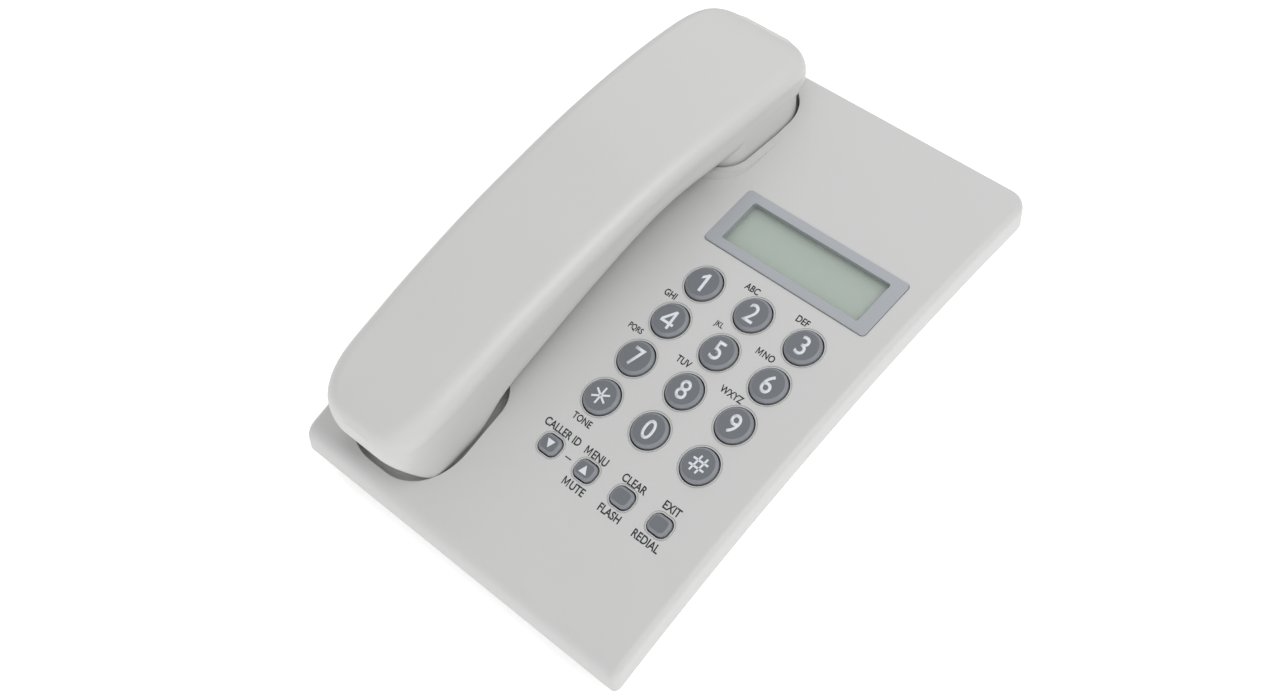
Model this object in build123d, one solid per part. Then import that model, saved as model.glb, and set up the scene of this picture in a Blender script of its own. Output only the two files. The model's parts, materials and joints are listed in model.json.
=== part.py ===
from build123d import *
import math
import os

# Corded desk telephone. Millimetres. X is the width, +X to the keypad side;
# Y is the depth, +Y to the back; Z is up from the table, at the feet.
# The base's top is one arch about an axis along X. Places on it are given as
# x and s, the distance along the arch from the front edge.

# ---------------------------------------------------------------- base
base_width = 150.0
base_depth = 205.0
front_top = 16.0          # height of the top's front edge, before its rounding
back_top = 72.5           # height of the top's back edge
arch_radius = 733.0
rim_height = 8.3          # depth of the top housing's side wall
wall = 2.4
back_corner = 8.0
edge_round = 2.4
front_round = 6.5
foot_height = 2.0
shell_gap = 0.2           # between the two housings' walls
side_tuck = 5.5           # how far the lower tub starts inside the rim
side_lean = 0.667         # how far its sides lean in for each mm down
front_lean = 0.75
tub_back = 0.4293 * base_depth   # the tub's back wall

# ---------------------------------------------------------------- keypad
key_columns = tuple(share * base_width for share in (0.0543, 0.2002, 0.3461))
key_rows = (121.3, 103.85, 86.4, 68.95)
key_names = ("1", "2", "3", "4", "5", "6", "7", "8", "9", "star", "0", "hash")
key_radius = 6.4
key_proud = 1.5
key_bevel = 0.9
function_x = tuple(share * base_width for share in (0.034, 0.144, 0.254, 0.364))
function_s = 46.05
function_names = ("down", "up", "flash", "redial")
function_half = (3.95, 3.25)
function_corner = 2.5
function_proud = 1.4
key_gap = 0.55            # round each key in its hole
key_travel = 1.5
flange_width = 1.2
flange_thick = 0.8
flange_gap = 0.12         # under the housing's skin
mat_gap = 0.3             # left under a pressed key
mat_thick = 1.0
mat_margin = 4.0
ring_width = 0.4          # fine groove round each key's hole
ring_depth = 0.35
ring_gap = 0.3

# ---------------------------------------------------------------- display
bezel_x = 0.2013 * base_width
bezel_s = 148.0
bezel_size = (0.4687 * base_width, 24.8)
bezel_corner = 1.6
bezel_thick = 3.6
bezel_proud = 0.5
bezel_gap = 0.15
window_size = (bezel_size[0] - 10.7, 17.7)
window_corner = 0.8
lens_lip = 1.6
lens_thick = 1.0
lens_depth = 1.5          # from the bezel's face to the lens
panel_size = (bezel_size[0] - 4.3, 22.0)
panel_thick = 2.0

# ---------------------------------------------------------------- cradle
handset_x = -0.28 * base_width
ear_half = 0.182 * base_width           # half width of the handset at the ear end
mouth_half = 0.861 * ear_half
cradle_gap = 0.9
ear_front, ear_back = 0.2317 * base_depth, 0.4707 * base_depth
ear_depth = 6.5
ear_corner = 11.0
ear_back_corner = 16.0
mouth_front, mouth_back = -0.4746 * base_depth, -0.2439 * base_depth
mouth_depth = 6.0
mouth_corner = 20.0
lip_width = 2.8           # raised lip round the front of the ear pocket
lip_slope = 3.4           # degrees; the arch there falls more steeply
lip_from = 0.361 * base_depth
hook_x, hook_y = handset_x, 0.283 * base_depth
hook_size = (9.0, 7.0)
hook_travel = 4.0
hook_gap = 0.3
tab_size = (11.0, 2.2, 9.0)

# ---------------------------------------------------------------- handset
shell_wall = 2.2
seat_gap = 0.4            # between a cup's face and its pocket's floor
seam_gap = 0.05

# ---------------------------------------------------------------- inside the base
floor_top = foot_height + wall
post_places = tuple((x * base_width, y * base_depth) for x, y in (
    (0.36, -0.39), (-0.36, -0.39), (0.18, 0.3024), (-0.18, 0.3024),
))
post_radius = 3.6
screw_radius = 1.3
screw_head = (2.9, 2.0)   # radius, height
head_gap = 0.2
seat_height = 3.0         # the screw seat's height over the floor
seat_thick = 1.6
screw_seat_z = floor_top + seat_height - seat_thick
screw_bite = 6.0          # how far a screw goes into its post
foot_places = tuple((x * base_width, y * base_depth) for x, y in (
    (0.3467, -0.439), (-0.3467, -0.439), (0.18, 0.3756), (-0.18, 0.3756),
))
foot_radius = 5.0
foot_sunk = 0.8
board_thick = 1.6
board_drop = 9.5
board_x = (-0.087 * base_width, 0.427 * base_width)
board_s = (40.0, 154.0)
board_boss = tuple((x * base_width, s) for x, s in (
    (0.1273, 57.5), (0.2727, 57.5), (-0.06, 70.0), (-0.06, 120.0),
))
boss_radius = 2.4
board_screw_radius = 0.9
board_screw_head = (1.9, 1.2)
board_screw_length = board_thick + 4.0
keyhole_pitch = 83.0      # standard wall-plate stud spacing
keyhole_slot = (4.4, 9.0) # width, length
keyhole_head = 4.5
cell_radius, cell_length = 7.1, 50.0
cell_gap = 0.4
cell_count = 3
contact_room = 2.4
box_wall = 1.6
door_thick = 1.6
door_lap = 2.0
door_gap = 0.15
door_slide = 6.0
buzzer_place = (0.0, 0.322 * base_depth)
buzzer_radius, buzzer_height = 13.0, 5.0
jack_size = (14.0, 14.0, 13.0)
socket = (10.6, 7.0, 11.0)   # width, height, depth of a modular socket
line_jack_place = (0.1333 * base_width, 14.0)   # x, z on the back wall
cord_jack_place = (-20.0, 15.0)                 # y, z on the left wall
switch_x = (-0.04 * base_width, -0.1733 * base_width)   # ringer, dial mode, on the back wall
switch_z = 20.0
knob_size = (5.0, 4.0, 3.0)
knob_proud = 1.4
knob_travel = 2.0
knob_gap = 0.25
hook_block = (14.0, 11.0, 6.0)


def arc_centre():
    """Centre of the arch's circle in the YZ plane."""
    rise = back_top - front_top
    chord = math.hypot(base_depth, rise)
    reach = math.sqrt(arch_radius**2 - (chord / 2) ** 2)
    return reach * rise / chord, (front_top + back_top) / 2 - reach * base_depth / chord


centre_y, centre_z = arc_centre()
front_angle = math.asin((-base_depth / 2 - centre_y) / arch_radius)


def top_z(y, drop=0.0):
    """Height of the arch, lowered along its normal by drop."""
    return centre_z + math.sqrt((arch_radius - drop) ** 2 - (y - centre_y) ** 2)


def slope_at(y):
    """The arch's slope at y in degrees."""
    return -math.degrees(math.asin((y - centre_y) / arch_radius))


def y_at(s):
    return centre_y + arch_radius * math.sin(front_angle + s / arch_radius)


def on_top(x, y, drop=0.0):
    """A plane on the arch at x, y with its Z along the outward normal."""
    tilt = math.radians(slope_at(y))
    normal = (0, -math.sin(tilt), math.cos(tilt))
    point = Vector(x, y, top_z(y)) - Vector(*normal) * drop
    return Plane(origin=point, x_dir=(1, 0, 0), z_dir=normal)


def arch(drop):
    """Everything below the arch lowered by drop, near the base."""
    drum = Cylinder(arch_radius - drop, 2 * base_width, rotation=(0, 90, 0))
    return Pos(0, centre_y, centre_z) * drum


def between_arches(solid, top_drop, bottom_drop):
    return (solid & arch(top_drop)) - arch(bottom_drop)


def upright(inset, low, high):
    """The base's outline, moved in by inset, from z low to z high."""
    block = Pos(0, 0, (low + high) / 2) * Box(base_width - 2 * inset, base_depth - 2 * inset, high - low)
    back = block.edges().filter_by(Axis.Z).group_by(Axis.Y)[-1]
    return fillet(back, back_corner - inset)


def clear_top():
    return back_top + rim_height + wall


def column(sketch, low, high):
    return extrude(Pos(0, 0, low) * sketch, high - low)


def rounded_plan(x_low, x_high, y_low, y_high, front, back):
    """A plan outline with its own front and back corner radii."""
    outline = Pos((x_low + x_high) / 2, (y_low + y_high) / 2) * Rectangle(x_high - x_low, y_high - y_low)
    outline = fillet(outline.vertices().group_by(Axis.Y)[0], front)
    return fillet(outline.vertices().group_by(Axis.Y)[-1], back)


def save(shape, name, colour):
    """Write a node; a list is a group of separate solids in one file."""
    if isinstance(shape, list):
        shape = Compound(children=shape)
    shape.label = name
    shape.color = Color(*colour)
    export_step(shape, f"parts/{name}.step")


os.makedirs("parts", exist_ok=True)

white = (0.82, 0.82, 0.81)
grey = (0.45, 0.46, 0.48)
dark = (0.12, 0.12, 0.13)
silver = (0.68, 0.69, 0.71)
metal = (0.75, 0.75, 0.72)
green = (0.10, 0.35, 0.20)
brass = (0.80, 0.65, 0.35)


# ---------------------------------------------------------------- keys
def key_places():
    """Name, x and y of each dial key."""
    spots = [(x, y_at(s)) for s in key_rows for x in key_columns]
    return [(f"key_{name}", x, y) for name, (x, y) in zip(key_names, spots)]


def function_places():
    y = y_at(function_s)
    return [(f"button_{name}", x, y) for name, x in zip(function_names, function_x)]


def key_outline(grow=0.0):
    return Circle(key_radius + grow)


def button_outline(grow=0.0):
    half_width, half_depth = (size + grow for size in function_half)
    return RectangleRounded(2 * half_width, 2 * half_depth, function_corner + grow)


flange_drop = wall + flange_gap
key_foot = flange_drop + flange_thick
mat_drop = key_foot + key_travel + mat_gap


def press_key(outline, proud):
    """A key cap with a bevelled face and the flange that keeps it in, at the arch."""
    cap = extrude(outline(), -(proud + key_foot))
    cap = Pos(0, 0, proud) * cap
    cap = chamfer(cap.edges().group_by(Axis.Z)[-1], key_bevel)
    flange = Pos(0, 0, -flange_drop) * extrude(outline(flange_width), -flange_thick)
    return cap + flange


def key_hole(outline):
    """The hole and the bevelled ring round it, as one cutter."""
    bore = Pos(0, 0, -2 * wall) * extrude(outline(key_gap), 4 * wall)
    ring = outline(key_gap + ring_gap + ring_width) - outline(key_gap + ring_gap)
    return bore + Pos(0, 0, -ring_depth) * extrude(ring, 2 * wall)


# ---------------------------------------------------------------- cradle
def ear_plan(grow=0.0):
    half = ear_half + cradle_gap + grow
    return rounded_plan(
        handset_x - half, handset_x + half, ear_front - grow, ear_back + grow,
        ear_corner + grow, ear_back_corner + grow,
    )


def mouth_plan(grow=0.0):
    half = mouth_half + cradle_gap + grow
    return rounded_plan(
        handset_x - half, handset_x + half, mouth_front - grow, mouth_back + grow,
        mouth_corner + grow, ear_corner + grow,
    )


def above(plane):
    """A block that fills the side of a plane that its Z points to."""
    return plane * Pos(0, 0, base_depth) * Box(3 * base_depth, 3 * base_depth, 2 * base_depth)


def ear_floor(down=0.0):
    return on_top(handset_x, (ear_front + ear_back) / 2, ear_depth + down)


def mouth_floor(down=0.0):
    return on_top(handset_x, (mouth_front + mouth_back) / 2, mouth_depth + down)


def pocket(plan, floor):
    return column(plan, 0, 2 * clear_top()) & above(floor)


def pocket_wall(plan, floor):
    """The solid that lines a pocket, cut off flush with the arch."""
    return (column(plan, 0, clear_top()) & above(floor)) & arch(wall / 2)


def ear_lip():
    """The lip raised in front of the ear pocket: a flatter plane than the arch."""
    start = on_top(0, lip_from)
    plane = Plane(origin=start.origin, x_dir=(1, 0, 0), z_dir=Vector(0, 0, 1).rotate(Axis.X, lip_slope))
    ring = column(ear_plan(lip_width), 0, clear_top()) & arch(-rim_height)
    return (ring - above(plane)) - arch(wall / 2)


# ---------------------------------------------------------------- base housings
def outer_slab():
    """The top housing's outside: an arched slab with rounded edges."""
    block = Pos(0, 0, clear_top() / 2) * Box(base_width, base_depth, clear_top())
    slab = between_arches(block, 0, rim_height)
    front = slab.edges().filter_by(Axis.X).group_by(Axis.Y)[0].sort_by(Axis.Z)[-1]
    slab = fillet(front, front_round)
    slab = fillet(slab.edges().filter_by(Axis.Z).group_by(Axis.Y)[-1], back_corner)
    sides = slab.edges().filter_by(GeomType.CIRCLE).filter_by(
        lambda e: abs(e.radius - arch_radius) < 0.01 and abs(abs(e.center().X) - base_width / 2) < 0.1
    )
    return fillet(sides, edge_round)


board_middle = (key_rows[0] + function_s) / 2


def board_plane(down=0.0):
    """The circuit board's top face: flat, along the arch at the keypad's middle."""
    return on_top(0, y_at(board_middle), board_drop + down)


def board_spots():
    """The fixing places on the board's top face."""
    return [board_plane() * Pos(x, s - board_middle, 0) for x, s in board_boss]


def frame_plan(size, corner, grow=0.0):
    return RectangleRounded(size[0] + 2 * grow, size[1] + 2 * grow, corner + grow)


bezel_plane = on_top(bezel_x, y_at(bezel_s))
bezel_plate = 1.2                     # depth of the bezel's face plate in the housing
neck_size = (bezel_size[0] - 3.0, bezel_size[1] - 3.0)


def bezel_opening():
    face = Pos(0, 0, -bezel_plate) * extrude(frame_plan(bezel_size, bezel_corner, bezel_gap), 2 * wall)
    neck = Pos(0, 0, -2 * wall) * extrude(frame_plan(neck_size, bezel_corner, bezel_gap), 3 * wall)
    return bezel_plane * (face + neck)


def bezel():
    face = Pos(0, 0, bezel_proud) * extrude(frame_plan(bezel_size, bezel_corner), -(bezel_proud + bezel_plate))
    face = chamfer(face.edges().group_by(Axis.Z)[-1], bezel_proud / 2)
    neck = Pos(0, 0, -bezel_plate) * extrude(frame_plan(neck_size, bezel_corner), bezel_plate - bezel_thick)
    window = Pos(0, 0, -2 * bezel_thick) * extrude(frame_plan(window_size, window_corner), 4 * bezel_thick)
    seat = Pos(0, 0, -lens_depth) * extrude(frame_plan(window_size, window_corner, lens_lip), -2 * bezel_thick)
    return bezel_plane * (face + neck - window - seat)


def lens():
    plate = extrude(frame_plan(window_size, window_corner, lens_lip - bezel_gap), -lens_thick)
    return bezel_plane * Pos(0, 0, -lens_depth) * plate


def panel():
    top = bezel_thick
    return bezel_plane * Pos(0, 0, -top) * extrude(Rectangle(*panel_size), -panel_thick)


def mat_region(grow=0.0):
    low_x = function_x[0] - function_half[0] - mat_margin - grow
    high_x = key_columns[-1] + key_radius + mat_margin + grow
    low_y = y_at(function_s) - function_half[1] - mat_margin - grow
    high_y = y_at(key_rows[0]) + key_radius + mat_margin / 2 + grow
    plan = Pos((low_x + high_x) / 2, (low_y + high_y) / 2) * Rectangle(high_x - low_x, high_y - low_y)
    return column(plan, 0, clear_top())


def keypad_mat():
    """The rubber mat with a contact stud under each key, down to the board."""
    mat = between_arches(mat_region(), mat_drop, mat_drop + mat_thick)
    below = Plane(origin=board_plane().origin, x_dir=(1, 0, 0), z_dir=-board_plane().z_dir)
    for _, x, y in key_places() + function_places():
        stud = on_top(x, y) * Pos(0, 0, -mat_drop - mat_thick / 2) * extrude(Circle(3.0), -board_drop)
        mat = mat + (stud - above(below))
    for spot in board_spots():
        mat = mat - spot * Cylinder(boss_radius + key_gap, 4 * board_drop)
    return mat


def board():
    low, high = y_at(board_s[0]), y_at(board_s[1])
    plan = Pos(sum(board_x) / 2, (low + high) / 2) * Rectangle(board_x[1] - board_x[0], high - low)
    slab = column(plan, -clear_top(), clear_top())
    slab = (slab - above(board_plane())) & above(board_plane(board_thick))
    for spot in board_spots():
        slab = slab - spot * Cylinder(board_screw_radius + head_gap, 4 * board_thick)
    return slab


def board_posts():
    """Bosses under the skin that the circuit board is screwed to."""
    return [(spot * extrude(Circle(boss_radius), 4 * board_drop)) & arch(wall / 2) for spot in board_spots()]


def board_screws():
    head_radius, head_height = board_screw_head
    screw = extrude(Circle(board_screw_radius), board_screw_length)
    screw = screw + extrude(Circle(head_radius), -head_height)
    return [spot * Pos(0, 0, -board_thick) * screw for spot in board_spots()]


# ---------------------------------------------------------------- bottom housing
def lean_plane(side, inset):
    """The tub's leaning side: through the chord of the rim's lower edge, facing out."""
    rise = back_top - front_top
    along = Vector(0, base_depth, rise)
    down = Vector(-side * side_lean, 0, -1)
    normal = along.cross(down) * (-side)
    point = Vector(side * (base_width / 2 - side_tuck), -base_depth / 2, top_z(-base_depth / 2, rim_height))
    plane = Plane(origin=point, x_dir=along, z_dir=normal)
    return plane.offset(-inset)


def between_sides(body, inset):
    """A body cut to the tub's leaning sides and front and its upright back, moved in by inset."""
    body = body - above(lean_plane(1, inset)) - above(lean_plane(-1, inset))
    front_point = Vector(0, -base_depth / 2 + side_tuck, top_z(-base_depth / 2, rim_height))
    front = Plane(origin=front_point, x_dir=(1, 0, 0), z_dir=(0, -1, -front_lean)).offset(-inset)
    back = Plane(origin=(0, tub_back - inset, 0), x_dir=(1, 0, 0), z_dir=(0, 1, 0))
    return body - above(front) - above(back)


def tub(low):
    """The lower body's outside, from z low."""
    return between_sides(upright(side_tuck, low, clear_top()) & arch(rim_height - wall), 0)


def tub_hollow():
    """The tub's inside, up past its open top."""
    return between_sides(upright(side_tuck + wall, floor_top, clear_top()), wall)


cell_pitch = 2 * cell_radius + cell_gap
box_x = cell_count * cell_pitch + cell_gap
box_y = cell_length + 2 * contact_room
box_top = foot_height + door_thick + door_gap + 2 * cell_radius + 2 * cell_gap
door_size = (box_x + 2 * door_lap, box_y + 2 * door_lap)


def block(x, y, z_low, z_high, width, depth):
    return Pos(x, y, (z_low + z_high) / 2) * Box(width, depth, z_high - z_low)


def battery_box():
    return block(0, 0, foot_height, box_top + box_wall, box_x + 2 * box_wall, box_y + 2 * box_wall)


def battery_space():
    return block(0, 0, 0, box_top, box_x, box_y)


def door_pad():
    """Thickened floor round the door and the way that it slides."""
    grow = 2 * (door_lap + door_gap + wall)
    return block(0, -door_slide / 2, foot_height, floor_top + door_thick / 2, box_x + grow, box_y + grow + door_slide)


def door_way():
    width, depth = (size + 2 * door_gap for size in door_size)
    return block(0, -door_slide / 2, 0, foot_height + door_thick + door_gap, width, depth + door_slide)


def battery_door():
    door = block(0, 0, foot_height, foot_height + door_thick, *door_size)
    ribs = [block(0, -door_size[1] / 2 + 6 + 2 * i, foot_height, foot_height + 0.5, 12, 0.8) for i in range(4)]
    return door - ribs


def cells():
    middle = foot_height + door_thick + door_gap + cell_gap + cell_radius
    spots = [(i - (cell_count - 1) / 2) * cell_pitch for i in range(cell_count)]
    can = Cylinder(cell_radius, cell_length - 1.2) + Pos(0, 0, cell_length / 2) * Cylinder(2.6, 1.2)
    return [Pos(x, 0, middle) * Rot(90 if i % 2 else -90, 0, 0) * can for i, x in enumerate(spots)]


def contacts():
    """A plate contact at one end of each cell and a spring's cup at the other."""
    middle = foot_height + door_thick + door_gap + cell_gap + cell_radius
    parts = []
    for i in range(cell_count):
        x = (i - (cell_count - 1) / 2) * cell_pitch
        for end in (-1, 1):
            plate = Pos(x, end * (box_y / 2 - 0.2), middle) * Box(9, 0.4, 9)
            bump = Pos(x, end * (box_y / 2 - 0.9), middle) * Rot(90, 0, 0) * Cylinder(2.4, 1.2)
            parts.append(plate + bump)
    return parts


def keyhole(y):
    width, length = keyhole_slot
    slot = Pos(0, y) * Rot(0, 0, 90) * SlotOverall(length, width)
    head = Pos(0, y - length / 2) * Circle(keyhole_head)
    return column(slot + head, 0, floor_top + wall)


def screw_seat(x, y):
    return block(x, y, foot_height, floor_top + seat_height, 2 * post_radius + 2, 2 * post_radius + 2)


def screw_hole(x, y):
    well = column(Pos(x, y) * Circle(screw_head[0] + head_gap), 0, screw_seat_z)
    return well + column(Pos(x, y) * Circle(screw_radius + head_gap), 0, 2 * floor_top + seat_height)


def jack_block(place_x, place_y, place_z, turn):
    """A modular jack's body with its socket facing local +X, turned about Z."""
    depth, width, height = jack_size
    socket_width, socket_height, socket_depth = socket
    body = Pos(-depth / 2, 0, 0) * Box(depth, width, height)
    mouth = Pos(-socket_depth / 2 + 1, 0, 0) * Box(socket_depth + 2, socket_width, socket_height)
    clip = Pos(-socket_depth / 2 + 1, 0, socket_height / 2) * Box(socket_depth + 2, 4.0, 3.0)
    return Pos(place_x, place_y, place_z) * Rot(0, 0, turn) * (body - mouth - clip)


def jack_cut(place_x, place_y, place_z, turn):
    depth, width, height = jack_size
    return Pos(place_x, place_y, place_z) * Rot(0, 0, turn) * Box(2 * depth, width, height)


def cord_jack_x():
    """Where the leaning left side passes the handset cord's jack."""
    y, z = cord_jack_place
    chord_low = top_z(-base_depth / 2, rim_height) + (y + base_depth / 2) * (back_top - front_top) / base_depth
    return -(base_width / 2 - side_tuck - side_lean * (chord_low - z))


def base_jack():
    y, z = cord_jack_place
    face = cord_jack_x() - jack_size[2] / 2
    return jack_block(face, y, z, 180) & tub(foot_height)


def line_jack():
    x, z = line_jack_place
    return jack_block(x, tub_back, z, 90)


def knob(x):
    width, depth, height = knob_size
    return Pos(x, tub_back + knob_proud - depth / 2, switch_z) * Box(width, depth, height)


def knob_slot(x):
    width, _, height = knob_size
    gap = 2 * knob_gap
    return Pos(x, tub_back, switch_z) * Box(width + 2 * knob_travel + gap, 3 * wall, height + gap)


def switch_body(x):
    """The slide switch behind the back wall, clear of its knob."""
    inner = tub_back + knob_proud - knob_size[1] - knob_gap
    return Pos(x, inner - 3.0, switch_z) * Box(13.0, 6.0, 8.0)


def buzzer():
    x, y = buzzer_place
    return Pos(x, y, floor_top + buzzer_height / 2) * Cylinder(buzzer_radius, buzzer_height)


def buzzer_holes():
    x, y = buzzer_place
    ring = [Pos(x, y) * Pos(*spot) for spot in [(0, 0)] + [
        (5 * math.cos(math.radians(a)), 5 * math.sin(math.radians(a))) for a in range(0, 360, 60)
    ]]
    return [spot * Cylinder(1.0, 4 * floor_top) for spot in ring]


def bottom_housing():
    flange = between_arches(upright(wall + shell_gap, 0, clear_top()), rim_height - wall, rim_height)
    body = flange + tub(foot_height) - tub_hollow()
    pads = [screw_seat(x, y) for x, y in post_places]
    pads += [battery_box(), door_pad()]
    for pad in pads:
        body = body + (pad & tub(foot_height))
    body = body - battery_space() - door_way() - keyhole(-keyhole_pitch / 2) - keyhole(keyhole_pitch / 2)
    for x, y in post_places:
        body = body - screw_hole(x, y)
    for x, y in foot_places:
        body = body - Pos(x, y, foot_height) * Cylinder(foot_radius, 2 * foot_sunk)
    body = body - pocket(ear_plan(wall + shell_gap), ear_floor(wall + shell_gap))
    body = body - pocket(mouth_plan(wall + shell_gap), mouth_floor(wall + shell_gap))
    body = body - buzzer_holes()
    body = body - jack_cut(line_jack_place[0], tub_back, line_jack_place[1], 90)
    body = body - jack_cut(cord_jack_x(), *cord_jack_place, 180)
    for x in switch_x:
        body = body - knob_slot(x)
    return body


def feet():
    height = foot_height + foot_sunk
    foot = Pos(0, 0, height / 2) * Cylinder(foot_radius, height)
    foot = fillet(foot.edges().group_by(Axis.Z)[0], 0.8)
    return [Pos(x, y, 0) * foot for x, y in foot_places]


def base_screws():
    radius, height = screw_head
    low = screw_seat_z - height
    screw = column(Circle(radius), low, screw_seat_z)
    screw = screw - Pos(0, 0, low) * Box(3.6, 0.8, 1.2) - Pos(0, 0, low) * Box(0.8, 3.6, 1.2)
    screw = screw + column(Circle(screw_radius), screw_seat_z, floor_top + seat_height + screw_bite)
    return [Pos(x, y, 0) * screw for x, y in post_places]


def base_posts():
    """Posts down from the skin to the screw seats."""
    low = floor_top + seat_height
    return [column(Pos(x, y) * Circle(post_radius), low, clear_top()) & arch(wall / 2) for x, y in post_places]


# ---------------------------------------------------------------- hook switch and tab
def hook_plan(grow=0.0):
    width, depth = hook_size
    return Pos(hook_x, hook_y) * Rectangle(width + 2 * grow, depth + 2 * grow)


hook_floor = ear_floor().origin.Z - math.tan(math.radians(slope_at(hook_y))) * (ear_floor().origin.Y - hook_y)
hook_stop = hook_floor - 2 * wall - hook_travel
hook_low = hook_stop - 1.2
hook_board_top = hook_low - hook_gap - hook_block[2]
hook_board_thick = 1.6
hook_board_size = (36.0, 34.0)
hook_board_at = (hook_x + 5.0, hook_y + 2.0)
hook_post_places = ((hook_x - 9.0, hook_y - 10.0), (hook_x + 18.0, hook_y + 14.0))


def hook_plunger():
    """The plunger that the handset holds down, with a stop under the floor."""
    body = column(hook_plan(), hook_low, clear_top()) - above(ear_floor(hook_gap - seat_gap))
    return body + column(hook_plan(1.2), hook_low, hook_stop)


def hook_switch():
    return Pos(hook_x, hook_y, hook_board_top + hook_block[2] / 2) * Box(*hook_block)


def hook_board():
    x, y = hook_board_at
    board = Pos(x, y, hook_board_top - hook_board_thick / 2) * Box(*hook_board_size, hook_board_thick)
    for x, y in hook_post_places:
        board = board - Pos(x, y, hook_board_top) * Cylinder(board_screw_radius + head_gap, 8)
    for x, y in post_places:
        board = board - Pos(x, y, hook_board_top) * Cylinder(post_radius + shell_gap, 8)
    return board


def hook_posts():
    posts = [column(Pos(x, y) * Circle(boss_radius), hook_board_top, clear_top()) for x, y in hook_post_places]
    return [post & arch(wall / 2) for post in posts]


def hook_board_screws():
    head_radius, head_height = board_screw_head
    screw = extrude(Circle(board_screw_radius), board_screw_length)
    screw = screw + extrude(Circle(head_radius), -head_height)
    return [Pos(x, y, hook_board_top - hook_board_thick) * screw for x, y in hook_post_places]


tab_y = ear_front - lip_width - tab_size[1]
tab_travel = 3.5
tab_gap = 0.15


def hanger_tab():
    width, thick, tall = tab_size
    tab = block(handset_x, tab_y, top_z(tab_y) - tall, clear_top(), width, thick)
    return tab & arch(tab_gap)


def tab_slot():
    width, thick, _ = tab_size
    return block(handset_x, tab_y, 0, clear_top(), width + 2 * tab_gap, thick + 2 * tab_gap)


# ---------------------------------------------------------------- handset
# Cross-sections from the nose to the ear end: y as a share of half the depth; the underside
# and the top over the arch; half width as a share of the ear end's; corner radius; and how
# much narrower each side is at the bottom.
sections = (
    (-0.997, 18.9, 23.9, 0.293, 2.4, 1.0), (-0.989, 16.2, 26.5, 0.513, 5.0, 1.5),
    (-0.968, 11.8, 28.8, 0.696, 6.8, 2.2), (-0.927, 4.9, 29.9, 0.813, 7.2, 2.8),
    (-0.859, -4.4, 30.4, 0.890, 7.2, 3.4), (-0.761, -6.2, 30.1, 0.916, 7.0, 3.3),
    (-0.683, -6.1, 29.8, 0.923, 6.9, 3.0), (-0.585, -0.5, 29.7, 0.927, 6.7, 2.2),
    (-0.439, 3.5, 29.2, 0.927, 6.4, 1.0), (-0.244, 6.3, 28.4, 0.938, 6.1, 0.5),
    (0.000, 8.7, 27.1, 0.952, 5.9, 0.5), (0.195, 9.8, 25.9, 0.967, 5.7, 0.3),
    (0.390, 7.6, 24.0, 0.982, 5.5, 0.0), (0.585, 4.4, 21.6, 1.000, 5.4, 0.0),
    (0.761, 3.3, 19.3, 0.996, 5.4, 0.0), (0.868, 3.6, 17.5, 0.962, 5.4, 0.0),
    (0.922, 4.5, 16.2, 0.875, 5.0, 0.0), (0.958, 5.8, 14.6, 0.705, 4.0, 0.0),
    (0.984, 7.7, 12.7, 0.455, 2.3, 0.0),
)
# The seam between the shells: y as a share of half the depth, and the height over the arch.
seam_line = (
    (-1.171, 16.0), (-0.956, 13.5), (-0.859, 14.4), (-0.644, 15.5), (-0.429, 17.0),
    (-0.117, 19.7), (0.224, 18.4), (0.517, 15.6), (0.878, 12.0), (1.171, 8.6),
)
cup_height = 6.5              # how far the ear cup's column reaches over the arch
capsule_radius, capsule_height = 15.5, 7.0
microphone_radius, microphone_height = 5.0, 5.0
ear_spot, mouth_spot = 0.3463 * base_depth, -0.3854 * base_depth
weight_size = (20.0, 46.0, 5.0)
weight_y, weight_lift, weight_tilt = -12.0, 16.0, 21.5


def section_face(share, low, high, half_share, corner, tuck, inset):
    """One cross-section: a rounded outline with leaning sides, moved in by inset."""
    y = share * base_depth / 2
    low, high = low + inset, high - inset
    top_half = half_share * ear_half - inset
    low_half = top_half - tuck
    outline = Polygon((-low_half, low), (low_half, low), (top_half, high), (-top_half, high), align=None)
    outline = fillet(outline.vertices(), max(corner - inset, 0.5))
    plane = Plane(origin=(handset_x, y, top_z(y)), x_dir=(1, 0, 0), z_dir=(0, -1, 0))
    return plane * outline


def handset_body(inset=0.0):
    """The handset without its ear cup, lofted through its sections."""
    kept = [row for row in sections if row[2] - row[1] > 2 * inset + 2.0]
    return loft([section_face(*row, inset) for row in kept])


def ear_cup(inset=0.0):
    plan = rounded_plan(
        handset_x - ear_half + inset, handset_x + ear_half - inset,
        ear_front + cradle_gap + inset, ear_back - cradle_gap - inset,
        ear_corner - inset, ear_back_corner - inset,
    )
    column_top = top_z(ear_back) + cup_height
    return column(plan, 0, column_top) & above(ear_floor(-seat_gap - inset))


def handset_solid(inset=0.0):
    return handset_body(inset) + ear_cup(inset)


def above_seam(shift=0.0):
    """The region over the seam between the handset's two shells."""
    places = [(share * base_depth / 2, height) for share, height in seam_line]
    points = [(0, y, top_z(y) + height + shift) for y, height in places]
    curve = Spline(*points)
    high = clear_top() + 40
    sides = Polyline(curve @ 1, (0, points[-1][1], high), (0, points[0][1], high), curve @ 0)
    profile = Face(Wire([curve, *sides.edges()]))
    facing = round(profile.normal_at().X)
    return Pos(handset_x - facing * 2 * ear_half, 0, 0) * extrude(profile, 4 * ear_half)


handset_seats = tuple((y, top_z(y) + lift) for y, lift in (        # y, height of each screw's seat
    (-0.2537 * base_depth, 6.6), (0.1951 * base_depth, 11.2),
))
handset_head = (2.5, 1.7)
handset_jack_size = (12.0, 11.0, 9.0)               # depth, width, height
handset_socket = (7.8, 6.4, 9.0)                    # width, height, depth
handset_jack_place = (handset_x - 12.0, -0.4732 * base_depth, top_z(-0.4732 * base_depth) + 8.5)
hole_radius = 1.0


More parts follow.
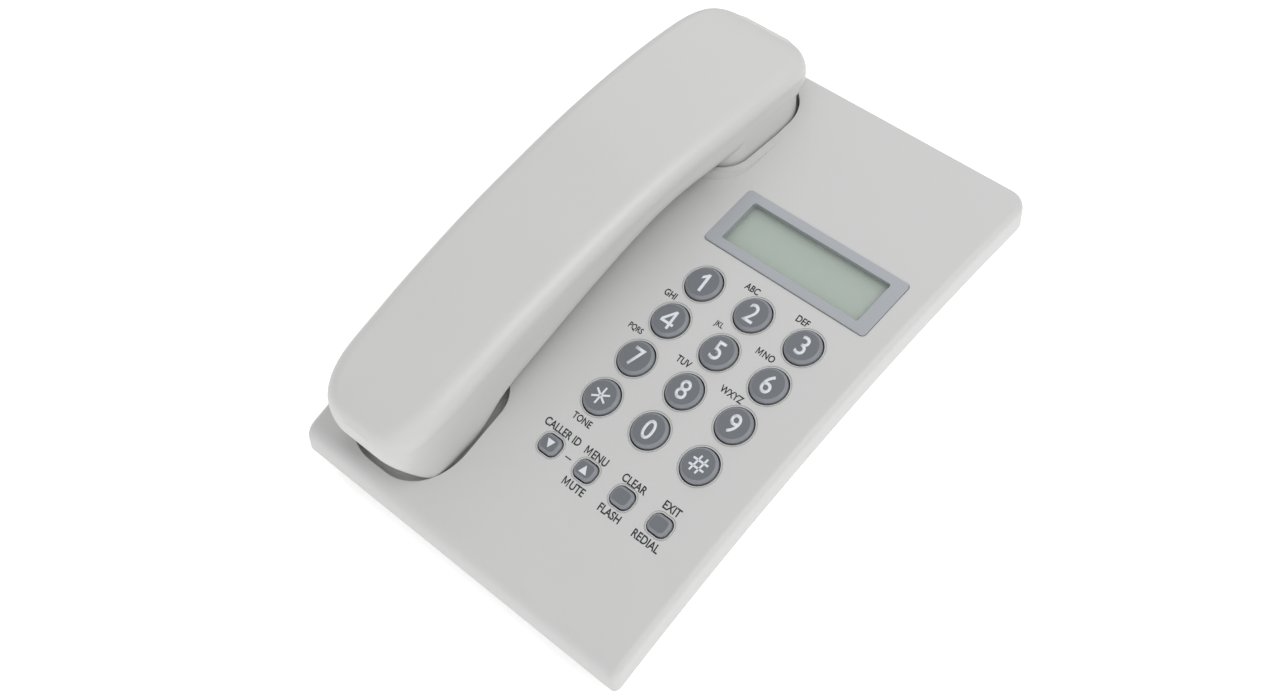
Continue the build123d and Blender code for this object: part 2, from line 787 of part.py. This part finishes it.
def ear_face_plane(lift=0.0):
    plane = ear_floor(-seat_gap - lift)
    along = (ear_spot - plane.origin.Y) / plane.z_dir.Z
    return plane * Pos(0, along, 0)


def mouth_face_plane(lift=0.0):
    plane = mouth_floor(-seat_gap - lift)
    along = (mouth_spot - plane.origin.Y) / plane.z_dir.Z
    return plane * Pos(0, along, 0)


def ring_of_holes(plane, rings):
    spots = [(0.0, 0.0)]
    for radius, count in rings:
        turns = [2 * math.pi * i / count for i in range(count)]
        spots += [(radius * math.cos(t), radius * math.sin(t)) for t in turns]
    return [plane * Pos(x, y, 0) * Cylinder(hole_radius, 5 * shell_wall) for x, y in spots]


def jack_room():
    depth, width, height = handset_jack_size
    x, y, z = handset_jack_place
    return Pos(x, y + depth / 2 - 2, z) * Box(width, depth + 4, height)


def handset_jack():
    width, height, depth = handset_socket
    x, y, z = handset_jack_place
    mouth = Pos(x, y + depth / 2 - 2, z) * Box(width, depth + 4, height)
    return (jack_room() & handset_solid()) - mouth


def outer_shell():
    shell = (handset_solid() - handset_solid(shell_wall)) & above_seam(seam_gap)
    for y, seat in handset_seats:
        low = seat + handset_head[1]
        post = column(Pos(handset_x, y) * Circle(3.2), low, clear_top() + 40) & handset_solid(shell_wall / 2)
        shell = shell + (post - Pos(handset_x, y, low) * Cylinder(screw_radius, 12.0))
    return shell - jack_room()


def inner_shell():
    shell = (handset_solid() - handset_solid(shell_wall)) - above_seam()
    for y, seat in handset_seats:
        boss = column(Pos(handset_x, y) * Circle(4.6), 0, seat + handset_head[1]) & handset_solid()
        shell = shell + boss
        shell = shell - column(Pos(handset_x, y) * Circle(handset_head[0] + head_gap), 0, seat)
        shell = shell - column(Pos(handset_x, y) * Circle(screw_radius + head_gap), 0, seat + 9)
    shell = shell - ring_of_holes(ear_face_plane(), ((5.0, 6), (10.0, 12)))
    shell = shell - ring_of_holes(mouth_face_plane(), ((3.4, 4),))
    return shell - jack_room()


def handset_screws():
    radius, height = handset_head
    screws = []
    for y, seat in handset_seats:
        head = column(Pos(handset_x, y) * Circle(radius), seat - height, seat)
        shank = column(Pos(handset_x, y) * Circle(screw_radius), seat, seat + height + 6.0)
        screws.append(head + shank)
    return screws


def receiver():
    return ear_face_plane(shell_wall + 1.0) * extrude(Circle(capsule_radius), capsule_height)


def receiver_seal():
    ring = Circle(capsule_radius) - Circle(capsule_radius - 2.5)
    return ear_face_plane(shell_wall) * extrude(ring, 1.0)


def microphone():
    return mouth_face_plane(shell_wall + 0.6) * extrude(Circle(microphone_radius), microphone_height)


def microphone_boot():
    ring = Circle(microphone_radius + 1.5) - Circle(microphone_radius)
    return mouth_face_plane(shell_wall + 0.6) * extrude(ring, microphone_height - 1.0)


def weight():
    return Pos(handset_x, weight_y, top_z(weight_y) + weight_lift) * Rot(weight_tilt, 0, 0) * Box(*weight_size)


# ---------------------------------------------------------------- build
def finished_top_housing():
    body = outer_slab() - between_arches(upright(wall, 0, clear_top()), wall, rim_height + 1)
    lining = pocket_wall(ear_plan(wall), ear_floor(wall)) + pocket_wall(mouth_plan(wall), mouth_floor(wall))
    body = body + (lining & upright(wall / 2, 0, clear_top())) + ear_lip()
    for post in base_posts() + board_posts() + hook_posts():
        body = body + post
    body = body - pocket(ear_plan(), ear_floor()) - pocket(mouth_plan(), mouth_floor())
    for x, y in post_places:
        body = body - Pos(x, y, floor_top + seat_height) * Cylinder(screw_radius, 2 * screw_bite + 1.0)
    for spot in board_spots():
        body = body - spot * Cylinder(board_screw_radius, 8.0)
    for x, y in hook_post_places:
        body = body - Pos(x, y, hook_board_top) * Cylinder(board_screw_radius, 8.0)
    body = body - bezel_opening() - tab_slot() - column(hook_plan(hook_gap), hook_floor - 4 * wall, clear_top())
    for _, x, y in key_places():
        body = body - on_top(x, y) * key_hole(key_outline)
    for _, x, y in function_places():
        body = body - on_top(x, y) * key_hole(button_outline)
    return body


dial_key = press_key(key_outline, key_proud)
function_key = press_key(button_outline, function_proud)
for name, x, y in key_places():
    save(on_top(x, y) * dial_key, name, grey)
for name, x, y in function_places():
    save(on_top(x, y) * function_key, name, grey)

save(finished_top_housing(), "top_housing", white)
save(bottom_housing(), "bottom_housing", white)
save(bezel(), "display_bezel", silver)
save(lens(), "display_lens", silver)
save(panel(), "lcd_panel", dark)
save(keypad_mat(), "keypad_mat", dark)
save(board(), "main_circuit_board", green)
save(board_screws(), "board_screws", metal)
save(hook_plunger(), "hook_plunger", white)
save(hook_switch(), "hook_switch", dark)
save(hook_board(), "hook_board", green)
save(hook_board_screws(), "hook_board_screws", metal)
save(hanger_tab(), "hanger_tab", white)
save(line_jack(), "line_jack", dark)
save(base_jack(), "base_cord_jack", dark)
save(knob(switch_x[0]), "ringer_switch_knob", dark)
save(knob(switch_x[1]), "dial_mode_switch_knob", dark)
save([switch_body(x) for x in switch_x], "switch_bodies", metal)
save(buzzer(), "ringer_buzzer", brass)
save(battery_door(), "battery_door", white)
save(cells(), "battery_cells", dark)
save(contacts(), "battery_contacts", metal)
save(feet(), "rubber_feet", dark)
save(base_screws(), "base_screws", metal)

save(outer_shell(), "handset_outer_shell", white)
save(inner_shell(), "handset_inner_shell", white)
save(handset_screws(), "handset_screws", metal)
save(handset_jack(), "handset_jack", dark)
save(receiver(), "receiver_capsule", brass)
save(receiver_seal(), "receiver_seal", dark)
save(microphone(), "microphone_capsule", metal)
save(microphone_boot(), "microphone_boot", dark)
save(weight(), "handset_weight", metal)
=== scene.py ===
import json
import math
import bpy
import bmesh
from mathutils import Matrix, Vector


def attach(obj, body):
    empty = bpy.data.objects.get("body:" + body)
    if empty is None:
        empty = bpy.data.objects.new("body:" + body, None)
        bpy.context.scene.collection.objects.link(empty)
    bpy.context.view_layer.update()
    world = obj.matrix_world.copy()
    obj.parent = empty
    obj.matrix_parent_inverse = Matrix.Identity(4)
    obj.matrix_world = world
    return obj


# Corded desk telephone. Metres, in the frame's own axes: +X to the keypad side,
# +Y to the back, +Z up from the table.

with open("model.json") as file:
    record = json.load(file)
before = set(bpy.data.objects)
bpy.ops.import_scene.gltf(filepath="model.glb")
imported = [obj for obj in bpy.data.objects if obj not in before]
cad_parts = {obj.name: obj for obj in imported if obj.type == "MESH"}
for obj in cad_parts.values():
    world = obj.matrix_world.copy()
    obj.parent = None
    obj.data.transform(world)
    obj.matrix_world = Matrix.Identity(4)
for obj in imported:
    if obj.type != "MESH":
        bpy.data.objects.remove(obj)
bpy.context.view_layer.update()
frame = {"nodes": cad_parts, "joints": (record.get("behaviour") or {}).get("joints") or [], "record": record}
nodes = frame["nodes"]
scene = bpy.context.scene
mm = 0.001
print("frame loaded:", len(nodes), "nodes")


# ---- shared shader groups ----

def newGroup(name, inputs, outputs):
    group = bpy.data.node_groups.new(name, "ShaderNodeTree")
    for socketName, kind, default in inputs:
        socket = group.interface.new_socket(socketName, in_out="INPUT", socket_type=kind)
        if default is not None:
            socket.default_value = default
    for socketName, kind in outputs:
        group.interface.new_socket(socketName, in_out="OUTPUT", socket_type=kind)
    start = group.nodes.new("NodeGroupInput")
    end = group.nodes.new("NodeGroupOutput")
    return group, start, end


def addNode(tree, kind, settings=None, values=None):
    node = tree.nodes.new(kind)
    for key, value in (settings or {}).items():
        setattr(node, key, value)
    for key, value in (values or {}).items():
        node.inputs[key].default_value = value
    return node


grainHeight = 0.04 * mm     # the texture's height at a strength of 1
toneScale = 38.0            # waves to a metre of the broad change of tone
glossSwing = 0.12           # how much of that change goes into the roughness
plasticIor = 1.5


def makeMouldedGrain():
    # Spark-eroded mould texture, with a faint broad change of tone and gloss.
    group, start, end = newGroup(
        "MouldedGrain",
        [("Color", "NodeSocketColor", (0.6, 0.6, 0.6, 1)),
         ("Grain Scale", "NodeSocketFloat", 2200.0),
         ("Grain Depth", "NodeSocketFloat", 0.2),
         ("Roughness", "NodeSocketFloat", 0.45),
         ("Tone", "NodeSocketFloat", 0.03)],
        [("Color", "NodeSocketColor"), ("Roughness", "NodeSocketFloat"), ("Normal", "NodeSocketVector")])
    link = group.links.new
    place = addNode(group, "ShaderNodeTexCoord")
    fine = addNode(group, "ShaderNodeTexNoise", values={"Detail": 2.0, "Roughness": 0.55})
    broad = addNode(group, "ShaderNodeTexNoise", values={"Scale": toneScale, "Detail": 3.0})
    link(place.outputs["Object"], fine.inputs["Vector"])
    link(place.outputs["Object"], broad.inputs["Vector"])
    link(start.outputs["Grain Scale"], fine.inputs["Scale"])
    bump = addNode(group, "ShaderNodeBump", values={"Distance": grainHeight})
    link(fine.outputs["Fac"], bump.inputs["Height"])
    link(start.outputs["Grain Depth"], bump.inputs["Strength"])
    link(bump.outputs["Normal"], end.inputs["Normal"])
    centred = addNode(group, "ShaderNodeMath", {"operation": "SUBTRACT"}, {1: 0.5})
    link(broad.outputs["Fac"], centred.inputs[0])
    toned = addNode(group, "ShaderNodeMath", {"operation": "MULTIPLY_ADD"}, {2: 1.0})
    link(centred.outputs[0], toned.inputs[0])
    link(start.outputs["Tone"], toned.inputs[1])
    shade = addNode(group, "ShaderNodeVectorMath", {"operation": "SCALE"})
    link(start.outputs["Color"], shade.inputs[0])
    link(toned.outputs[0], shade.inputs["Scale"])
    link(shade.outputs[0], end.inputs["Color"])
    worn = addNode(group, "ShaderNodeMath", {"operation": "MULTIPLY_ADD"}, {1: glossSwing})
    link(centred.outputs[0], worn.inputs[0])
    link(start.outputs["Roughness"], worn.inputs[2])
    link(worn.outputs[0], end.inputs["Roughness"])
    return group


mouldedGrain = makeMouldedGrain()


def newMaterial(name):
    material = bpy.data.materials.new(name)
    material.use_nodes = True
    tree = material.node_tree
    return material, tree, tree.nodes["Principled BSDF"]


def mouldedPlastic(name, look):
    material, tree, shader = newMaterial(name)
    grain = tree.nodes.new("ShaderNodeGroup")
    grain.node_tree = mouldedGrain
    grain.inputs["Color"].default_value = (*look["color"], 1)
    grain.inputs["Grain Scale"].default_value = look["grainScale"]
    grain.inputs["Grain Depth"].default_value = look["grainDepth"]
    grain.inputs["Roughness"].default_value = look["roughness"]
    grain.inputs["Tone"].default_value = look["tone"]
    shader.inputs["IOR"].default_value = plasticIor
    shader.inputs["Metallic"].default_value = look.get("metallic", 0.0)
    for socket, target in (("Color", "Base Color"), ("Roughness", "Roughness"), ("Normal", "Normal")):
        tree.links.new(grain.outputs[socket], shader.inputs[target])
    return material


plastics = {
    "HousingPlastic": {"color": (0.585, 0.59, 0.582), "grainScale": 2600, "grainDepth": 0.35,
                       "roughness": 0.46, "tone": 0.03},
    "HandsetPlastic": {"color": (0.60, 0.603, 0.594), "grainScale": 2600, "grainDepth": 0.25,
                       "roughness": 0.40, "tone": 0.03},
    "KeyPlastic": {"color": (0.155, 0.165, 0.18), "grainScale": 3000, "grainDepth": 0.2,
                   "roughness": 0.38, "tone": 0.05},
    "BezelPaint": {"color": (0.41, 0.43, 0.455), "grainScale": 4000, "grainDepth": 0.15,
                   "roughness": 0.34, "tone": 0.04, "metallic": 0.35},
    "CrystalPanel": {"color": (0.37, 0.45, 0.37), "grainScale": 900, "grainDepth": 0.0,
                     "roughness": 0.4, "tone": 0.05},
    "DarkPlastic": {"color": (0.02, 0.02, 0.022), "grainScale": 2000, "grainDepth": 0.2,
                    "roughness": 0.4, "tone": 0.1},
    "Rubber": {"color": (0.025, 0.025, 0.027), "grainScale": 1500, "grainDepth": 0.4,
               "roughness": 0.7, "tone": 0.15},
    "Steel": {"color": (0.55, 0.55, 0.54), "grainScale": 1200, "grainDepth": 0.1,
              "roughness": 0.3, "tone": 0.05, "metallic": 1.0},
    "SolderMask": {"color": (0.03, 0.16, 0.06), "grainScale": 700, "grainDepth": 0.2,
                   "roughness": 0.35, "tone": 0.2},
    "Brass": {"color": (0.60, 0.44, 0.18), "grainScale": 1200, "grainDepth": 0.1,
              "roughness": 0.32, "tone": 0.05, "metallic": 1.0},
}
finish = {name: mouldedPlastic(name, look) for name, look in plastics.items()}

# which way the keys' tops face, the cosines of the lean where the painted highlight on the rims begins and
# is full, and how much paler it makes them
bevelHighlightLean = {"tops": (0, -0.31, 0.95), "none": 0.97, "full": 0.86, "gain": 1.55}


def paintBevelHighlight(material):
    # Painted highlight: lighten the faces that lean away from the keys' tops, the chamfered rims, which face
    # the camera and the light.
    tree = material.node_tree
    shader = tree.nodes["Principled BSDF"]
    color = shader.inputs["Base Color"].links[0].from_socket
    lie = addNode(tree, "ShaderNodeNewGeometry")
    lean = addNode(tree, "ShaderNodeVectorMath", {"operation": "DOT_PRODUCT"}, {1: bevelHighlightLean["tops"]})
    tree.links.new(lie.outputs["True Normal"], lean.inputs[0])
    highlightGain = addNode(tree, "ShaderNodeMapRange", values={
        "From Min": bevelHighlightLean["none"], "From Max": bevelHighlightLean["full"], "To Min": 1.0, "To Max": bevelHighlightLean["gain"]})
    tree.links.new(lean.outputs["Value"], highlightGain.inputs["Value"])
    highlighted = addNode(tree, "ShaderNodeVectorMath", {"operation": "SCALE"})
    tree.links.new(color, highlighted.inputs[0])
    tree.links.new(highlightGain.outputs["Result"], highlighted.inputs["Scale"])
    tree.links.new(highlighted.outputs[0], shader.inputs["Base Color"])


# painted highlight on the keys' chamfered rims
paintBevelHighlight(finish["KeyPlastic"])


# the display's lens, a thin see-through sheet; its soft sheen is painted, a whitish base colour at partial
# alpha that lightens the panel below in place of the lens's reflection
lensLook = {"Base Color": (0.72, 0.78, 0.75, 1), "Roughness": 0.12, "Alpha": 0.22, "IOR": 1.49}


def makeClearLens():
    material, tree, shader = newMaterial("ClearLens")
    # the whitish base colour at partial alpha is the painted sheen
    for socket, value in lensLook.items():
        shader.inputs[socket].default_value = value
    return material


finish["ClearLens"] = makeClearLens()

slotFinish = {
    "housing_plastic": "HousingPlastic", "handset_plastic": "HandsetPlastic",
    "key_plastic": "KeyPlastic", "bezel_plastic": "BezelPaint", "clear_lens": "ClearLens",
    "lcd_glass": "CrystalPanel", "rubber": "Rubber", "circuit_board": "SolderMask",
    "steel": "Steel", "dark_plastic": "DarkPlastic", "brass": "Brass",
}
for part in frame["record"]["subparts"]:
    piece = nodes[part["node"]]
    for slotIndex in range(len(piece.material_slots)):
        piece.material_slots[slotIndex].material = finish[slotFinish[part["material_slot"]]]
print("finishes on the frame's nodes")


# ---- lettering ----

inkGrain = {"scale": 3500.0, "darkest": 0.85, "lightest": 1.1}


def makeInk(name, color, roughness):
    # Pad-printed ink with a slightly uneven cover.
    material, tree, shader = newMaterial(name)
    place = addNode(tree, "ShaderNodeTexCoord")
    cover = addNode(tree, "ShaderNodeTexNoise", values={"Scale": inkGrain["scale"], "Detail": 2.0})
    shade = addNode(tree, "ShaderNodeMapRange", values={
        "To Min": inkGrain["darkest"], "To Max": inkGrain["lightest"]})
    tint = addNode(tree, "ShaderNodeVectorMath", {"operation": "SCALE"}, {0: color})
    tree.links.new(place.outputs["Object"], cover.inputs["Vector"])
    tree.links.new(cover.outputs["Fac"], shade.inputs["Value"])
    tree.links.new(shade.outputs["Result"], tint.inputs["Scale"])
    tree.links.new(tint.outputs[0], shader.inputs["Base Color"])
    shader.inputs["Roughness"].default_value = roughness
    return material


finish["WhiteInk"] = makeInk("WhiteInk", (0.74, 0.77, 0.82), 0.45)
finish["DarkInk"] = makeInk("DarkInk", (0.018, 0.02, 0.028), 0.5)

inkThickness = 0.03 * mm
slant = -0.1    # all the lettering leans back a little: metres across for each metre up
pressAxis = {joint["child"]: Vector(joint["axis"]).normalized()
             for joint in frame["joints"] if joint["name"].endswith("_press")}


def faceOf(key):
    # Middle of a key's face and the direction it faces.
    out = -pressAxis[key]
    corners = [v.co for v in nodes[key].data.vertices]
    top = max(corner.dot(out) for corner in corners)
    face = [corner for corner in corners if corner.dot(out) > top - 0.01 * mm]
    middle = Vector([(min(c[i] for c in face) + max(c[i] for c in face)) / 2 for i in range(3)])
    return middle, out


def placeAt(point, out):
    # Matrix with X along the telephone's width, Y up its slope and Z outwards, at a point.
    across = Vector((1, 0, 0))
    uphill = out.cross(across).normalized()
    turn = Matrix((across, uphill, out)).transposed().to_4x4()
    return Matrix.Translation(point) @ turn


def onHousing(key, across, uphill):
    # The place on the top housing that many metres across and uphill from a key's middle.
    middle, out = faceOf(key)
    start = placeAt(middle, out) @ Vector((across, uphill, 10 * mm))
    _, point, normal, _ = nodes["top_housing"].ray_cast(start, -out)
    return placeAt(point, normal)


def wordMesh(words, height, stretch, weight):
    # Flat lettering of the height given, centred on the origin. Weight swells the strokes.
    curve = bpy.data.curves.new("words", "FONT")
    curve.body = words
    curve.resolution_u = 6
    curve.offset = weight
    curve.shear = slant
    item = bpy.data.objects.new("words", curve)
    scene.collection.objects.link(item)
    bpy.context.view_layer.update()
    mesh = bpy.data.meshes.new_from_object(item.evaluated_get(bpy.context.evaluated_depsgraph_get()))
    bpy.data.objects.remove(item)
    bpy.data.curves.remove(curve)
    xs = [v.co.x for v in mesh.vertices]
    ys = [v.co.y for v in mesh.vertices]
    scale = height / (max(ys) - min(ys))
    centre = Vector(((min(xs) + max(xs)) / 2, (min(ys) + max(ys)) / 2, 0))
    mesh.transform(Matrix.Diagonal((scale * stretch, scale, 1, 1)) @ Matrix.Translation(-centre))
    return mesh


def flatMesh(points, faces):
    mesh = bpy.data.meshes.new("flat")
    mesh.from_pydata([(x, y, 0) for x, y in points], [], faces)
    return mesh


def joined(name, placed, finishName, body):
    # One piece from flat meshes and their places, thickened outwards.
    whole = bmesh.new()
    for mesh, matrix in placed:
        part = bmesh.new()
        part.from_mesh(mesh)
        bmesh.ops.remove_doubles(part, verts=part.verts, dist=0.002 * mm)
        grown = bmesh.ops.extrude_face_region(part, geom=part.faces[:])
        lifted = [item for item in grown["geom"] if isinstance(item, bmesh.types.BMVert)]
        bmesh.ops.translate(part, verts=lifted, vec=(0, 0, inkThickness))
        bmesh.ops.recalc_face_normals(part, faces=part.faces[:])
        part.transform(matrix)
        flat = bpy.data.meshes.new("part")
        part.to_mesh(flat)
        part.free()
        whole.from_mesh(flat)
        bpy.data.meshes.remove(flat)
    mesh = bpy.data.meshes.new(name)
    whole.to_mesh(mesh)
    whole.free()
    mesh.materials.append(finish[finishName])
    piece = bpy.data.objects.new(name, mesh)
    scene.collection.objects.link(piece)
    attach(piece, body)
    return piece


digits = {"height": 7.2 * mm, "one": {"stem": 1.15 * mm, "flag": 1.5 * mm, "drop": 1.7 * mm},
          "stretch": 0.95, "weight": 0.009,
          "keys": {"key_1": "1", "key_2": "2", "key_3": "3", "key_4": "4", "key_5": "5", "key_6": "6",
                   "key_7": "7", "key_8": "8", "key_9": "9", "key_0": "0"}}


def strokeMesh(length, width):
    return flatMesh([(-length / 2, -width / 2), (length / 2, -width / 2),
                     (length / 2, width / 2), (-length / 2, width / 2)], [(0, 1, 2, 3)])


letterRoom = 0.16    # between a drawn letter and the next, as a share of the height
# points and faces of two glyphs over a height of 1: swelling the font's own would fill them in
drawn = {
    "4": ([(0, 0.22), (0.50, 0.22), (0.50, 0), (0.65, 0), (0.65, 0.22), (0.80, 0.22), (0.80, 0.36),
           (0.65, 0.36), (0.65, 1), (0.50, 1), (0, 0.38), (0.17, 0.36), (0.50, 0.36), (0.50, 0.79)],
          [(0, 1, 12, 11, 10), (1, 2, 3, 4), (1, 4, 7, 12), (4, 5, 6, 7), (12, 7, 8, 9, 13),
           (10, 11, 13, 9)]),
    "M": ([(0, 0), (0.15, 0), (0.15, 0.72), (0.42, 0.14), (0.54, 0.14), (0.81, 0.72), (0.81, 0),
           (0.96, 0), (0.96, 1), (0.76, 1), (0.48, 0.38), (0.20, 1), (0, 1)],
          [tuple(range(13))]),
}


def drawnMesh(glyph, height, stretch):
    points, faces = drawn[glyph]
    middle = max(x for x, _ in points) / 2
    return flatMesh([((x - middle + slant * (y - 0.5)) * height * stretch, (y - 0.5) * height)
                     for x, y in points], faces)


def wordWithM(words, height, stretch, weight):
    # A word that starts with M: the drawn letter and the rest, set together and centred.
    start, rest = drawnMesh("M", height, stretch), wordMesh(words[1:], height, stretch, weight)
    room = letterRoom * height
    widths = []
    for mesh in (start, rest):
        xs = [v.co.x for v in mesh.vertices]
        widths.append(max(xs) - min(xs))
    start.transform(Matrix.Translation((-(widths[1] + room) / 2, 0, 0)))
    rest.transform(Matrix.Translation(((widths[0] + room) / 2, 0, 0)))
    both = bmesh.new()
    both.from_mesh(start)
    both.from_mesh(rest)
    both.to_mesh(start)
    both.free()
    return start


def oneMesh():
    # A "1" with a flag: a stem and a short stroke falling from its top to the left.
    half = digits["height"] / 2
    stem, flag, drop = (digits["one"][key] for key in ("stem", "flag", "drop"))
    outline = [(0, -half), (stem, -half), (stem, half), (0.25 * stem, half),
               (-flag, half - drop), (-flag, half - drop - stem), (0, half - stem - 0.35 * drop)]
    return flatMesh([(x + slant * y, y) for x, y in outline], [tuple(range(len(outline)))])


def makeDigits():
    for key, digit in digits["keys"].items():
        if digit == "1":
            mesh = oneMesh()
        elif digit in drawn:
            mesh = drawnMesh(digit, digits["height"], digits["stretch"])
        else:
            mesh = wordMesh(digit, digits["height"], digits["stretch"], digits["weight"])
        joined("digit_" + digit, [(mesh, placeAt(*faceOf(key)))], "WhiteInk", key)


signs = {"starReach": 3.3 * mm, "starWidth": 0.72 * mm, "starArms": (0, 60, 120),
         "hashLength": 6.2 * mm, "hashWidth": 0.72 * mm, "hashGap": 2.4 * mm, "hashSlant": 6.0,
         "arrow": (3.2 * mm, 3.0 * mm)}


def makeSigns():
    star = placeAt(*faceOf("key_star"))
    arms = [(strokeMesh(2 * signs["starReach"], signs["starWidth"]),
             star @ Matrix.Rotation(math.radians(90 + turn), 4, "Z")) for turn in signs["starArms"]]
    joined("sign_star", arms, "WhiteInk", "key_star")
    hashPlace = placeAt(*faceOf("key_hash"))
    bars = []
    for side in (-0.5, 0.5):
        bar = strokeMesh(signs["hashLength"], signs["hashWidth"])
        bars.append((bar, hashPlace @ Matrix.Translation((0, side * signs["hashGap"], 0))))
        post = strokeMesh(signs["hashLength"], signs["hashWidth"])
        lean = Matrix.Rotation(math.radians(90 - signs["hashSlant"]), 4, "Z")
        bars.append((post, hashPlace @ Matrix.Translation((side * signs["hashGap"], 0, 0)) @ lean))
    joined("sign_hash", bars, "WhiteInk", "key_hash")
    width, height = signs["arrow"]
    for button, way in (("button_down", -1), ("button_up", 1)):
        corners = [(-width / 2, -way * height / 2), (width / 2, -way * height / 2),
                   (way * slant * height, way * height / 2)]
        arrow = flatMesh(corners, [(0, 1, 2) if way > 0 else (0, 2, 1)])
        joined("arrow_" + button[7:], [(arrow, placeAt(*faceOf(button)))], "WhiteInk", button)


# words on the housing: text, the key it belongs to, and how far its middle is across and uphill
legends = {
    "letterHeight": 2.6 * mm, "wordHeight": 2.95 * mm, "stretch": 0.86, "weight": 0.02,
    "letters": [
        ("ABC", "key_2", -6.9, 8.0), ("DEF", "key_3", -6.8, 7.9), ("GHI", "key_4", -6.95, 8.1),
        ("JKL", "key_5", -7.1, 8.2), ("MNO", "key_6", -8.5, 8.3), ("PQRS", "key_7", -8.05, 8.6),
        ("TUV", "key_8", -7.8, 8.4), ("WXYZ", "key_9", -8.2, 8.2), ("TONE", "key_star", -0.1, -9.9)],
    "words": [
        ("CALLER ID", "button_down", 0.3, 6.2), ("MENU", "button_up", -0.6, 6.0),
        ("MUTE", "button_up", 0.1, -6.4), ("CLEAR", "button_flash", 0.2, 6.0),
        ("FLASH", "button_flash", -0.2, -6.4), ("EXIT", "button_redial", -0.4, 6.6),
        ("REDIAL", "button_redial", -0.4, -6.6)],
    "dash": (2.6 * mm, 0.4 * mm),
}


def makeLegends():
    placed = []
    for group, height in (("letters", legends["letterHeight"]), ("words", legends["wordHeight"])):
        for words, key, across, uphill in legends[group]:
            letter = wordWithM if words[0] in drawn else wordMesh
            mesh = letter(words, height, legends["stretch"], legends["weight"])
            placed.append((mesh, onHousing(key, across * mm, uphill * mm)))
    left, right = faceOf("button_down")[0], faceOf("button_up")[0]
    placed.append((strokeMesh(*legends["dash"]), onHousing("button_down", (right.x - left.x) / 2, 0)))
    joined("legends", placed, "DarkInk", "base")


# the touch mark in the middle of key 5
touchDot = {"radius": 0.6 * mm, "place": (-0.3 * mm, -0.7 * mm, 0), "flattened": (1, 1, 0.7, 1)}


def makeTouchDot():
    dot = bmesh.new()
    bmesh.ops.create_uvsphere(dot, u_segments=24, v_segments=12, radius=touchDot["radius"])
    place = placeAt(*faceOf("key_5")) @ Matrix.Translation(touchDot["place"])
    dot.transform(place @ Matrix.Diagonal(touchDot["flattened"]))
    mesh = bpy.data.meshes.new("touch_dot")
    dot.to_mesh(mesh)
    dot.free()
    mesh.shade_smooth()
    mesh.materials.append(finish["KeyPlastic"])
    piece = bpy.data.objects.new("touch_dot", mesh)
    scene.collection.objects.link(piece)
    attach(piece, "key_5")


makeDigits()
makeSigns()
makeLegends()
makeTouchDot()
print("lettering")


# ---- room, lights and camera ----

# degrees, metres, and the lens and sensor in millimetres
view = {"azimuth": 46.651, "elevation": 47.5, "roll": -3.781, "distance": 0.66375,
        "aim": (-0.00632, -0.0059, 0.027), "lens": 53.87, "sensor": 36.0, "nearest": 0.01}


def makeCamera():
    azimuth, elevation, roll = (math.radians(view[key]) for key in ("azimuth", "elevation", "roll"))
    back = Vector((math.sin(azimuth) * math.cos(elevation),
                   -math.cos(azimuth) * math.cos(elevation), math.sin(elevation)))
    right = (-back).cross(Vector((0, 0, 1))).normalized()
    up = right.cross(-back)
    across = math.cos(roll) * right + math.sin(roll) * up
    upwards = math.cos(roll) * up - math.sin(roll) * right
    data = bpy.data.cameras.new("Camera")
    data.lens = view["lens"]
    data.sensor_width = view["sensor"]
    data.clip_start = view["nearest"]
    camera = bpy.data.objects.new("Camera", data)
    turn = Matrix((across, upwards, back)).transposed().to_4x4()
    camera.matrix_world = Matrix.Translation(Vector(view["aim"]) + view["distance"] * back) @ turn
    scene.collection.objects.link(camera)
    scene.camera = camera


ground = {"half": 3.0, "color": (0.93, 0.93, 0.93, 1), "roughness": 0.9, "glow": 0.42}


def makeFloor():
    # A pale floor that glows a little, so that shadows on it stay faint.
    mesh = bpy.data.meshes.new("Floor")
    half = ground["half"]
    mesh.from_pydata([(-half, -half, 0), (half, -half, 0), (half, half, 0), (-half, half, 0)],
                     [], [(0, 1, 2, 3)])
    floor = bpy.data.objects.new("Floor", mesh)
    scene.collection.objects.link(floor)
    material, tree, shader = newMaterial("PaleFloor")
    shader.inputs["Base Color"].default_value = ground["color"]
    shader.inputs["Roughness"].default_value = ground["roughness"]
    shader.inputs["Emission Color"].default_value = (1, 1, 1, 1)
    shader.inputs["Emission Strength"].default_value = ground["glow"]
    mesh.materials.append(material)


lamps = [
    {"name": "KeyLamp", "at": (0.9, 0.1, 1.3), "size": 1.0, "power": 9.0},
    {"name": "BackLamp", "at": (-0.6, 0.9, 1.1), "size": 1.2, "power": 3.5},
    {"name": "FrontLamp", "at": (0.3, -1.2, 0.8), "size": 1.4, "power": 3.0},
]
roomLight = 0.56    # strength of the white world


def makeLamps():
    for lamp in lamps:
        data = bpy.data.lights.new(lamp["name"], "AREA")
        data.shape = "DISK"
        data.size = lamp["size"]
        data.energy = lamp["power"]
        item = bpy.data.objects.new(lamp["name"], data)
        item.location = lamp["at"]
        item.rotation_euler = (-Vector(lamp["at"])).to_track_quat("-Z", "Y").to_euler()
        scene.collection.objects.link(item)
    world = bpy.data.worlds.new("Room")
    world.use_nodes = True
    background = world.node_tree.nodes["Background"]
    background.inputs["Color"].default_value = (1, 1, 1, 1)
    background.inputs["Strength"].default_value = roomLight
    scene.world = world
    scene.view_settings.view_transform = "Standard"


makeCamera()
makeFloor()
makeLamps()
print("room, lights and camera")
